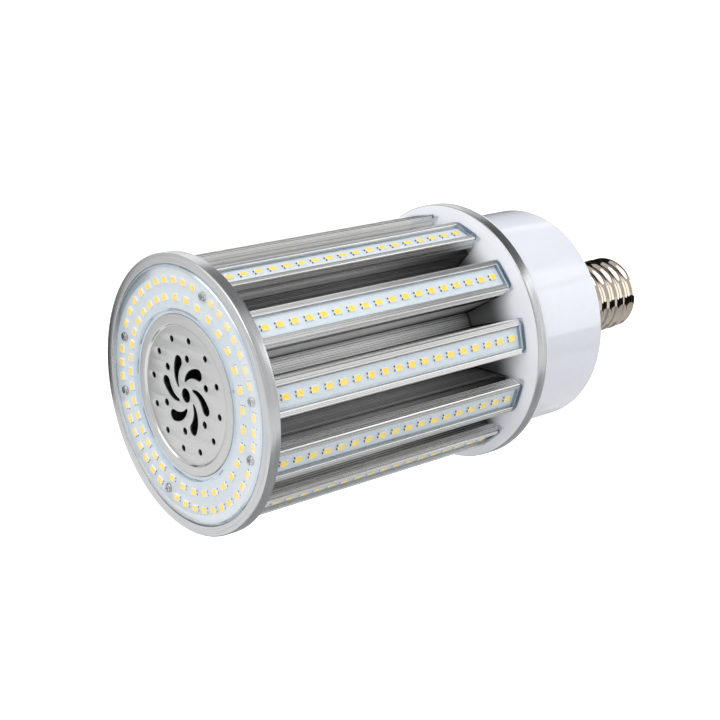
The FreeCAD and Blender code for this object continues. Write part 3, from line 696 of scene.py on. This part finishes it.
def diode(pad_high):
    """A package lying on z = 0: white body, yellow window and two solder joints."""
    def ring(lx, ly, z, cut):
        x, y = lx / 2, ly / 2
        return [(x, -y + cut, z), (x, y - cut, z), (x - cut, y, z), (-x + cut, y, z),
                (-x, y - cut, z), (-x, -y + cut, z), (-x + cut, -y, z), (x - cut, -y, z)]
    corner, top_corner, slope = 0.12, 0.14, 0.16
    window_edge, window_corner, window_drop = 0.1, 0.3, 0.05
    pad_half, pad_out, pad_in, pad_place = 0.35, 0.4, 0.1, 0.3
    rings = [ring(DIODE_LONG, DIODE_WIDE, 0, corner),
             ring(DIODE_LONG, DIODE_WIDE, DIODE_HIGH - corner, corner),
             ring(DIODE_LONG - slope, DIODE_WIDE - slope, DIODE_HIGH, top_corner),
             ring(WINDOW_LONG + window_edge, WINDOW_WIDE + window_edge, DIODE_HIGH,
                  window_corner),
             ring(WINDOW_LONG, WINDOW_WIDE, DIODE_HIGH - window_drop, window_corner)]
    verts = [v for r in rings for v in r]
    faces, marks = [], []
    last = len(rings) - 1
    for level in range(last):
        for k in range(8):
            n = (k + 1) % 8
            a, b = level * 8, level * 8 + 8
            faces.append([a + k, a + n, b + n, b + k])
            marks.append(1 if level == last - 1 else 0)
    faces.append(list(range(last * 8, last * 8 + 8)))
    marks.append(1)
    for middle in (-pad_place * DIODE_WIDE, pad_place * DIODE_WIDE):
        base = len(verts)
        x0, x1 = -DIODE_LONG / 2 - pad_out, -DIODE_LONG / 2 + pad_in
        low, up = middle - pad_half, middle + pad_half
        verts += [(x, y, z) for z in (0, pad_high) for x, y in
                  ((x0, low), (x1, low), (x1, up), (x0, up))]
        for face in ((4, 5, 6, 7), (0, 1, 5, 4), (1, 2, 6, 5), (2, 3, 7, 6), (3, 0, 4, 7)):
            faces.append([base + i for i in face])
            marks.append(2)
    return verts, faces, marks


def face_diodes(name, radius, angles, node):
    parts = []
    verts, faces, marks = diode(FACE_PAD_HIGH)
    for angle in angles:
        moved = [at(BOARD_FRONT - z, *turned(radius + y, x, angle)) for x, y, z in verts]
        parts.append((moved, faces, marks))
    v, f, m = merged(parts)
    piece(name, v, f, DIODE_LOOKS, "diode_yellow", [node], m, 25)


outer_angles = []
for place, arm in enumerate(SCREW_ARMS):
    spread = (SCREW_ARMS[(place + 1) % len(SCREW_ARMS)] - arm) % ARMS
    fill = OUTER_FILLS[spread]
    outer_angles += [PHASE + 90 + ARM_STEP * arm + ARM_STEP * spread * n / (fill + 1)
                     for n in range(1, fill + 1)]
inner_angles = [first + step * n for first, step, count in INNER_RUNS for n in range(count)]
face_diodes("face_leds_outer_look", OUTER_RING, outer_angles, "face_leds_outer")
face_diodes("face_leds_inner_look", INNER_RING, inner_angles, "face_leds_inner")


# Face screws

cross = []
for k in range(4):
    for y, z in ((CROSS_HALF, CROSS_HALF), (CROSS_REACH, CROSS_HALF),
                 (CROSS_REACH, -CROSS_HALF)):
        cross.append(turned(y, z, -90 * k))
washer = soften([(BOARD_FRONT, 0.0), (BOARD_FRONT, SCREW_WASHER), (0.95, SCREW_WASHER),
                 (0.35, 1.75), (0.7, 0.0)], {2: 0.2, 3: 0.3})
parts = []
for (y, z), tilt in zip(screw_places, SCREW_TILTS):
    tilted = [turned(a, b, tilt) for a, b in cross]
    recess = [(a + y, b + z) for a, b in tilted]
    parts.append(as_lists(filled([circle(SCREW_HEAD, y, z, 32), recess], 0.12, 0.75, 0.06)))
    v, f = lathe(washer, 32)
    parts.append(([(a, b + y * MM, c + z * MM) for a, b, c in v], f, [0] * len(f)))
v, f, m = merged(parts)
piece("face_screws_look", v, f, [screw_metal], "screw_steel", ["face_screws"], m)


# Vent disc

def swirl(start):
    """The outline of one curved vent, which widens outward and has round ends."""
    def beside(y, z, width, direction):
        angle = math.radians(direction)
        return y + width * math.cos(angle), z + width * math.sin(angle)

    left, right, caps = [], [], []
    steps, cap_steps = 18, 10
    grow = SWIRL_RADII[1] - SWIRL_RADII[0]
    widen = SWIRL_HALF_WIDTHS[1] - SWIRL_HALF_WIDTHS[0]
    for step in range(steps + 1):
        share = step / steps
        angle = start + SWIRL_SWEEP * share
        width = SWIRL_HALF_WIDTHS[0] + widen * share ** 0.9
        y, z = turned(SWIRL_RADII[0] + grow * share, 0, angle)
        left.append(beside(y, z, width, angle + SWIRL_LEAN + 90))
        right.append(beside(y, z, width, angle + SWIRL_LEAN - 90))
    for place, begin in ((1, 90), (0, -90)):
        angle = start + SWIRL_SWEEP * place
        y, z = turned(SWIRL_RADII[place], 0, angle)
        caps.append([beside(y, z, SWIRL_HALF_WIDTHS[place],
                            angle + SWIRL_LEAN + begin - 180 * k / cap_steps)
                     for k in range(1, cap_steps)])
    return left + caps[0] + right[::-1] + caps[1]


holes = [circle(CENTRE_HOLE, count=40)]
for radius, distance, first, count in ROUND_VENTS:
    holes += [circle(radius, *turned(distance, 0, first + 360 / count * k), 24)
              for k in range(count)]
holes += [swirl(SWIRL_START + 360 / SWIRLS * k) for k in range(SWIRLS)]
floor_plate = filled([circle(PLATE_RADIUS, count=192)] + holes, PLATE_FRONT, PLATE_BACK, 0.12)
rim = soften([(STAR_FRONT, DISC_RADIUS), (DISC_FRONT, DISC_RADIUS), (DISC_FRONT, STEP_OUTSIDE),
              (PLATE_FRONT, STEP_INSIDE), (PLATE_FRONT, 31.3), (PLATE_BACK, 31.3),
              (PLATE_BACK, 32.2), (1.7, 33.0), (1.7, DISC_SKIRT), (STAR_FRONT, DISC_SKIRT)],
             {1: 0.6, 2: 0.5, 3: 0.6, 6: 0.3, 7: 0.3, 8: 0.3})
v, f = lathe(rim)
# faces of the step ring take step_metal, whose lighter colour is a painted highlight
step_marks = [1 if STEP_MARKS[0] * MM < middle < STEP_MARKS[1] * MM else 0
              for middle in mean_radii(v, f)]
v, f, m = merged([(v, f, step_marks), as_lists(floor_plate)])
piece("vent_disc_look", v, f, [disc_metal, step_metal], "satin_aluminium", ["vent_disc"], m)


# Star heat sink

def arm_side():
    """One side of an arm's section, from the valley up to the board's seat."""
    points = []
    for rib in range(ARM_RIBS):
        for share, depth in ((0.1, RIB_DEPTH), (0.35, 0), (0.65, 0), (0.9, RIB_DEPTH)):
            level = (rib + share) / ARM_RIBS
            points.append((ARM_FOOT[0] + (ARM_TOP[0] - ARM_FOOT[0]) * level - depth,
                           ARM_FOOT[1] + (ARM_TOP[1] - ARM_FOOT[1]) * level))
    points += [ARM_TOP, (ARM_TOP[0], NECK_FOOT), (NECK_HALF, NECK_FOOT),
               (NECK_HALF, HEAD_FOOT), (HEAD_HALF - HEAD_BEVEL, HEAD_FOOT),
               (HEAD_HALF, HEAD_FOOT + HEAD_BEVEL)]
    for groove in range(SIDE_GROOVES):
        foot = SIDE_GROOVE_START + SIDE_GROOVE_PITCH * groove
        inside = HEAD_HALF - SIDE_GROOVE_DEPTH
        points += [(HEAD_HALF, foot), (inside, foot + 0.15), (inside, foot + 0.4),
                   (HEAD_HALF, foot + 0.55)]
    points += [(HEAD_HALF, HEAD_TOP - 0.4), (HEAD_HALF - 0.35, HEAD_TOP)]
    for groove in range(TOP_GROOVES):
        foot = TOP_GROOVE_START - TOP_GROOVE_PITCH * groove
        inside = HEAD_TOP - TOP_GROOVE_DEPTH
        points += [(foot, HEAD_TOP), (foot - 0.1, inside), (foot - 0.3, inside),
                   (foot - 0.4, HEAD_TOP)]
    points += [(LIP_HALF + 0.2, HEAD_TOP), (LIP_HALF, HEAD_TOP - 0.2), (LIP_HALF, LIP_FOOT),
               (SLOT_HALF, LIP_FOOT), (SLOT_HALF, BAR_SEAT)]
    return points


outline = []
arm = mirrored(arm_side())
for k in range(ARMS):
    # the outline runs clockwise, so that each arm is followed by the valley at its right
    lean = PHASE - ARM_STEP * k
    for y, z in reversed(arm):
        outline.append(turned(y, z, lean))
    for rib in range(VALLEY_RIBS):
        for share, rise in ((0.15, 0), (0.35, VALLEY_RISE), (0.65, VALLEY_RISE), (0.85, 0)):
            spot = lean - VALLEY_START - VALLEY_SPAN * (rib + share) / VALLEY_RIBS
            outline.append(turned(0, VALLEY_RADIUS + rise, spot))
star = filled([outline, circle(CORE_BORE, count=120)], STAR_FRONT, STAR_END)
dress("heat_sink_look", star, [shaded_star_metal, lit_channel_metal], ["heat_sink"],
      sharp=20)
# the heads, beyond HEAD_MARK, take the lighter copy of the aluminium: painted light
for polygon in star.polygons:
    c = polygon.center
    if math.hypot(c.y, c.z) > HEAD_MARK * MM:
        polygon.material_index = 1


# Bars: diodes and a clear cover over each board

cover_section = soften([(COVER_INSIDE, BAR_BOARD_TOP), (COVER_HALF, BAR_BOARD_TOP),
                        (COVER_HALF, COVER_TOP), (-COVER_HALF, COVER_TOP),
                        (-COVER_HALF, BAR_BOARD_TOP), (-COVER_INSIDE, BAR_BOARD_TOP),
                        (-COVER_INSIDE, COVER_CEILING), (COVER_INSIDE, COVER_CEILING)],
                       {2: 0.75, 3: 0.75, 6: 0.35, 7: 0.35}, 5)
end_plan = soften([(STAR_END, -COVER_END_HALF), (COVER_END, -COVER_END_HALF),
                   (COVER_END, COVER_END_HALF), (STAR_END, COVER_END_HALF)],
                  {1: 2.8, 2: 2.8}, 8)
bar_diode = diode(BAR_PAD_HIGH)
for k in range(ARMS):
    number = "%02d" % (k + 1)
    lean = PHASE + ARM_STEP * k
    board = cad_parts["bar_board_" + number]
    board.data.materials.clear()
    board.data.materials.append(board_white)

    verts, faces, marks = bar_diode
    parts = []
    for spot in range(BAR_LEDS):
        station = FIRST_LED + LED_PITCH * spot
        moved = [at(station + x, *turned(y, BAR_BOARD_TOP + z, lean)) for x, y, z in verts]
        parts.append((moved, faces, marks))
    v, f, m = merged(parts)
    piece("bar_leds_look_" + number, v, f, DIODE_LOOKS, "diode_yellow",
          ["bar_leds_" + number], m, 25)

    section = [turned(y, z, lean) for y, z in cover_section]
    low = [at(s, *turned(y, COVER_END_FOOT, lean)) for s, y in end_plan]
    high = [at(s, *turned(y, COVER_END_TOP, lean)) for s, y in end_plan]
    v, f = prism(low, high)
    # the end block takes clear_end, whose dark tint is painted shade
    v, f, m = merged([as_lists(filled([section], COVER_FRONT, STAR_END)),
                      (v, f, [0, 0] + [1] * len(end_plan))])
    piece("bar_cover_look_" + number, v, f, [clear_cover, clear_end], "clear_plastic",
          ["bar_cover_" + number], m)


# Flange, with a pocket for each arm and for the end of each cover

dish = soften([(COLLAR_FRONT, COLLAR_INSIDE), (COLLAR_FRONT, COLLAR_EDGE),
               (TRIM_FRONT - FLANGE_LIP, FLANGE_RADIUS), (TRIM_FRONT, FLANGE_RADIUS),
               (TRIM_FRONT, FLANGE_HUB), (FLANGE_BACK, FLANGE_HUB), (FLANGE_BACK, FLANGE_BORE),
               (TRIM_FRONT - 0.2, FLANGE_BORE), (FLANGE_FLOOR, FLANGE_FLOOR_RADIUS),
               (FLANGE_FLOOR, COLLAR_INSIDE)], {2: 0.4})
flange = piece("flange_look", *lathe(dish, 360), [flange_white], "white_plastic", ["flange"])
arm_pocket = mirrored([POCKET_FOOT, POCKET_NECK, (POCKET_HALF, POCKET_SHOULDER),
                       (POCKET_HALF, POCKET_TOP)])
end_pocket = mirrored([(POCKET_HALF, POCKET_SEAT), (POCKET_HALF, POCKET_TOP)])
pockets = []
for k in range(ARMS):
    lean = PHASE + ARM_STEP * k
    for section, end in ((arm_pocket, STAR_END), (end_pocket, POCKET_END)):
        near = [at(POCKET_FRONT, *turned(y, z, lean)) for y, z in section]
        far = [at(end, *turned(y, z, lean)) for y, z in section]
        pockets.append(prism(near, far))
cut(flange, pockets)


# Trim ring and driver housing

trim = soften([(TRIM_FRONT, TRIM_BORE), (TRIM_FRONT, TRIM_RADIUS), (TRIM_BACK, TRIM_RADIUS),
               (TRIM_BACK, TRIM_BORE)], {1: 0.5, 2: 0.5})
piece("trim_ring_look", *lathe(trim, 384), [ring_metal], "brushed_aluminium", ["trim_ring"])

housing = soften([(FLANGE_BACK, HOUSING_PLATE), (HOUSING_PLATE_BACK, HOUSING_PLATE),
                  (HOUSING_PLATE_BACK, HOUSING_RADIUS), *CONE_OUTSIDE, (RIM, HOUSING_MOUTH),
                  (RIM, SPIGOT_RADIUS), (SPIGOT_END, SPIGOT_RADIUS), (SPIGOT_END, SPIGOT_BORE),
                  (244.5, SPIGOT_BORE), *CONE_INSIDE,
                  (FLANGE_BACK, HOUSING_RADIUS - HOUSING_WALL)],
                 {0: 0.3, 1: 0.5, 2: 0.5, 3: 2.5, 4: 4.0, 5: 4.0, 6: 0.4})
piece("driver_housing_look", *lathe(housing, 360), [white_plastic], "white_plastic",
      ["driver_housing"])


# Screw cap

def shell_radius(station, angle):
    """Outer radius of the rolled shell: plain collar, helical thread, rounded end."""
    turn = (station - THREAD_START) / THREAD_PITCH - angle / (2 * math.pi)
    wave = 0.5 + 0.5 * math.cos(2 * math.pi * turn)
    begin = min(1.0, max(0.0, (turn + 0.5) * 4))
    stop = min(1.0, max(0.0, (THREAD_TURNS - turn) * 4))
    radius = SHELL_ROOT + (SHELL_CREST - SHELL_ROOT) * (wave ** 1.15) * begin * stop
    if station < COLLAR_END:
        fade = min(1.0, max(0.0, (station - (COLLAR_END - COLLAR_FADE)) / COLLAR_FADE))
        drop = (SHELL_COLLAR - SHELL_ROOT) * (fade * fade * (3 - 2 * fade))
        radius = max(radius, SHELL_COLLAR - drop)
    if station > NOSE_START:
        along_nose = (station - NOSE_START) / NOSE_LENGTH
        bulge = (SHELL_ROOT - SHELL_NOSE) * math.sqrt(max(0.0, 1 - along_nose * along_nose))
        radius = min(radius, SHELL_NOSE + bulge)
    return radius


SHELL_END = RIM + SHELL_LENGTH
around, along = 192, 222
verts, faces = [], []
for i in range(along):
    station = RIM + SHELL_LENGTH * i / (along - 1)
    for k in range(around):
        angle = 2 * math.pi * k / around
        radius = shell_radius(station, angle)
        verts.append(at(station, radius * math.cos(angle), radius * math.sin(angle)))
shell_inside = [(SHELL_END, SHELL_MOUTH), (SHELL_MOUTH_FOOT, SHELL_MOUTH),
                (SHELL_MOUTH_FOOT, 14.6), (281.7, SHELL_BORE), (252.0, SHELL_BORE),
                (249.7, SHELL_COLLAR_BORE), (RIM, SHELL_COLLAR_BORE)]
for station, radius in shell_inside:
    verts.extend(ring_at(station, radius, around))
rings = along + len(shell_inside)
for i in range(rings):
    for k in range(around):
        n, up = (k + 1) % around, (i + 1) % rings
        faces.append([i * around + k, i * around + n, up * around + n, up * around + k])
piece("screw_shell_look", verts, faces, [nickel], "nickel_plate", ["screw_shell"])

insulator = soften([(INSULATOR_FOOT, INSULATOR_BORE), (INSULATOR_FOOT, INSULATOR_FOOT_RADIUS),
                    (SHELL_MOUTH_FOOT, INSULATOR_FOOT_RADIUS),
                    (SHELL_MOUTH_FOOT, INSULATOR_NECK), (SHELL_END, INSULATOR_NECK),
                    (SHELL_END, INSULATOR_RADIUS), (287.15, 13.6), (INSULATOR_END, 9.6),
                    (INSULATOR_END, INSULATOR_BORE)], {5: 0.4, 6: 1.5, 7: 0.5})
piece("cap_insulator_look", *lathe(insulator, 192), [black_glass], "black_insulator",
      ["cap_insulator"])
contact = soften([(INSULATOR_END, 0.0), (INSULATOR_END, CONTACT_RADIUS),
                  (INSULATOR_END + CONTACT_STEP, CONTACT_RADIUS),
                  (CONTACT_END, CONTACT_TIP), (CONTACT_END, 0.0)], {2: 0.5, 3: 1.5})
piece("centre_contact_look", *lathe(contact, 128), [contact_metal], "solder_contact",
      ["centre_contact"])


# Inner pieces keep their plain shapes

for node, chosen in inner_looks.items():
    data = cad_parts[node].data
    data.materials.clear()
    data.materials.append(chosen)


# Studio, in metres

CENTRE = (-0.10, 0.0, 0.0)
BAND_CENTRE = 0.02
WORLD_LEVEL = 0.77
FLOOR_HEIGHT = -0.36
FLOOR_RADIUS = 12.0
FLOOR_GLOW = 0.72
CAMERA_PLACE = (-0.6018, -0.5461, 0.2177)
CAMERA_AHEAD = (0.6132, 0.7321, -0.2967)
CAMERA_RIGHT = (0.7666, -0.6421, 0.0)
CAMERA_LENS = 76.8


def aim(obj, place, target):
    obj.location = place
    direction = Vector(target) - Vector(place)
    obj.rotation_euler = direction.to_track_quat("-Z", "Y").to_euler()


def emitter(name, place, width, height, power):
    lamp = bpy.data.lights.new(name, "AREA")
    lamp.shape = "RECTANGLE"
    lamp.size, lamp.size_y = width, height
    lamp.energy = power
    obj = bpy.data.objects.new(name, lamp)
    scene.collection.objects.link(obj)
    aim(obj, place, CENTRE)


def reflector(name, verts, faces, level, glow=0.0):
    """A stage object that only shiny surfaces show, as a reflection."""
    mesh = bpy.data.meshes.new(name)
    mesh.from_pydata(verts, [], faces)
    made, nodes, links, bsdf = look(name)
    bsdf.inputs["Base Color"].default_value = (level, level, level, 1)
    bsdf.inputs["Roughness"].default_value = 1.0
    bsdf.inputs["Emission Color"].default_value = (1, 1, 1, 1)
    bsdf.inputs["Emission Strength"].default_value = glow
    mesh.materials.append(made)
    obj = bpy.data.objects.new(name, mesh)
    scene.collection.objects.link(obj)
    obj.visible_camera = False
    obj.visible_shadow = False
    obj.visible_diffuse = False
    return obj


def card(name, place, target, width, height, level):
    """A flat grey reflector."""
    w, h = width / 2, height / 2
    verts = [(-w, -h, 0), (w, -h, 0), (w, h, 0), (-w, h, 0)]
    aim(reflector(name, verts, [(0, 1, 2, 3)], level), place, target)


def band(name, radius, turns, rises, level, glow=0.0):
    """A reflector that is part of a sphere round the cap, between angles in degrees."""
    steps, rows = 48, 6
    verts, faces = [], []
    for row in range(rows + 1):
        rise = math.radians(rises[0] + (rises[1] - rises[0]) * row / rows)
        for step in range(steps + 1):
            turn = math.radians(turns[0] + (turns[1] - turns[0]) * step / steps)
            verts.append((BAND_CENTRE + radius * math.cos(rise) * math.cos(turn),
                          radius * math.cos(rise) * math.sin(turn), radius * math.sin(rise)))
    for row in range(rows):
        for step in range(steps):
            first = row * (steps + 1) + step
            faces.append((first, first + 1, first + steps + 2, first + steps + 1))
    reflector(name, verts, faces, level, glow)


def shown(nodes, links):
    """1 for rays that show the background, also in reflections, and 0 for diffuse light."""
    path = nodes.new("ShaderNodeLightPath")
    return math_node(nodes, links, "MAXIMUM", path.outputs["Is Camera Ray"],
                     math_node(nodes, links, "MAXIMUM", path.outputs["Is Glossy Ray"],
                               path.outputs["Is Transmission Ray"]))


emitter("key", (-0.9, -0.5, 1.5), 1.2, 1.2, 11)
emitter("side", (0.92, -0.78, 0.66), 0.7, 0.55, 2.0)
emitter("back", (0.5, 1.4, 1.0), 1.4, 1.0, 3)
card("dark_high", (0.60, 0.25, 1.19), CENTRE, 1.2, 0.9, 0.42)
card("dark_low", (0.00, 0.18, -0.30), (0.00, 0.18, 1.0), 0.62, 0.6, 0.50)
card("dark_left", (-0.302, 0.175, 0.000), (-0.247, 0.064, 0.030), 0.045, 0.115, 0.05)
card("dark_under", (-0.35, 0.07, -0.27), (-0.26, 0.0, 0.0), 0.13, 0.13, 0.48)
band("disc_glint", 0.52, (158, 188), (14, 31), 0.5, 2.4)
band("cap_low", 0.11, (-110, 20), (-24, -4), 0.004)
band("cap_high", 0.11, (-75, 20), (44, 76), 0.004)
band("cap_back", 0.11, (20, 110), (8, 70), 0.01)
band("cap_bright", 0.12, (-100, -5), (-4, 36), 0.5, 2.2)
band("panel", 0.36, (-72, -14), (2, 34), 0.5, 0.95)
band("high_grey", 0.36, (-72, 40), (46, 80), 0.25)
band("low_grey", 0.34, (-150, 70), (-80, -26), 0.6)
band("cap_under", 0.12, (-110, 40), (-80, -24), 0.95)

world = bpy.data.worlds.new("studio")
scene.world = world
world.use_nodes = True
nodes, links = world.node_tree.nodes, world.node_tree.links
backing = nodes["Background"]
strength = nodes.new("ShaderNodeMapRange")
strength.inputs["To Min"].default_value = WORLD_LEVEL
strength.inputs["To Max"].default_value = 1.0
links.new(shown(nodes, links), strength.inputs["Value"])
links.new(strength.outputs[0], backing.inputs["Strength"])
backing.inputs["Color"].default_value = (1, 1, 1, 1)

floor_mesh = bpy.data.meshes.new("floor")
floor_shape = bmesh.new()
bmesh.ops.create_circle(floor_shape, cap_ends=True, radius=FLOOR_RADIUS, segments=96)
floor_shape.to_mesh(floor_mesh)
floor_shape.free()
floor = bpy.data.objects.new("floor", floor_mesh)
floor.location = (0, 0, FLOOR_HEIGHT)
scene.collection.objects.link(floor)
floor_look, nodes, links, bsdf = look("floor_look")
bsdf.inputs["Roughness"].default_value = 0.9
links.new(ramp(nodes, links, grain(nodes, links, (2, 2, 2)), (0.70, 0.70, 0.70),
               (0.72, 0.72, 0.72)), bsdf.inputs["Base Color"])
bsdf.inputs["Emission Color"].default_value = (1, 1, 1, 1)
links.new(math_node(nodes, links, "MULTIPLY", shown(nodes, links), FLOOR_GLOW),
          bsdf.inputs["Emission Strength"])
floor_mesh.materials.append(floor_look)

camera_data = bpy.data.cameras.new("camera")
camera_data.sensor_width = 36.0
camera_data.lens = CAMERA_LENS
camera_data.clip_start = 0.05
camera_data.clip_end = 50.0
camera = bpy.data.objects.new("camera", camera_data)
scene.collection.objects.link(camera)
right = Vector(CAMERA_RIGHT).normalized()
ahead = Vector(CAMERA_AHEAD).normalized()
upward = right.cross(ahead).normalized()
turn = Matrix((right, upward, -ahead)).transposed()
camera.matrix_world = Matrix.Translation(CAMERA_PLACE) @ turn.to_4x4()
scene.camera = camera
scene.view_settings.view_transform = "Standard"
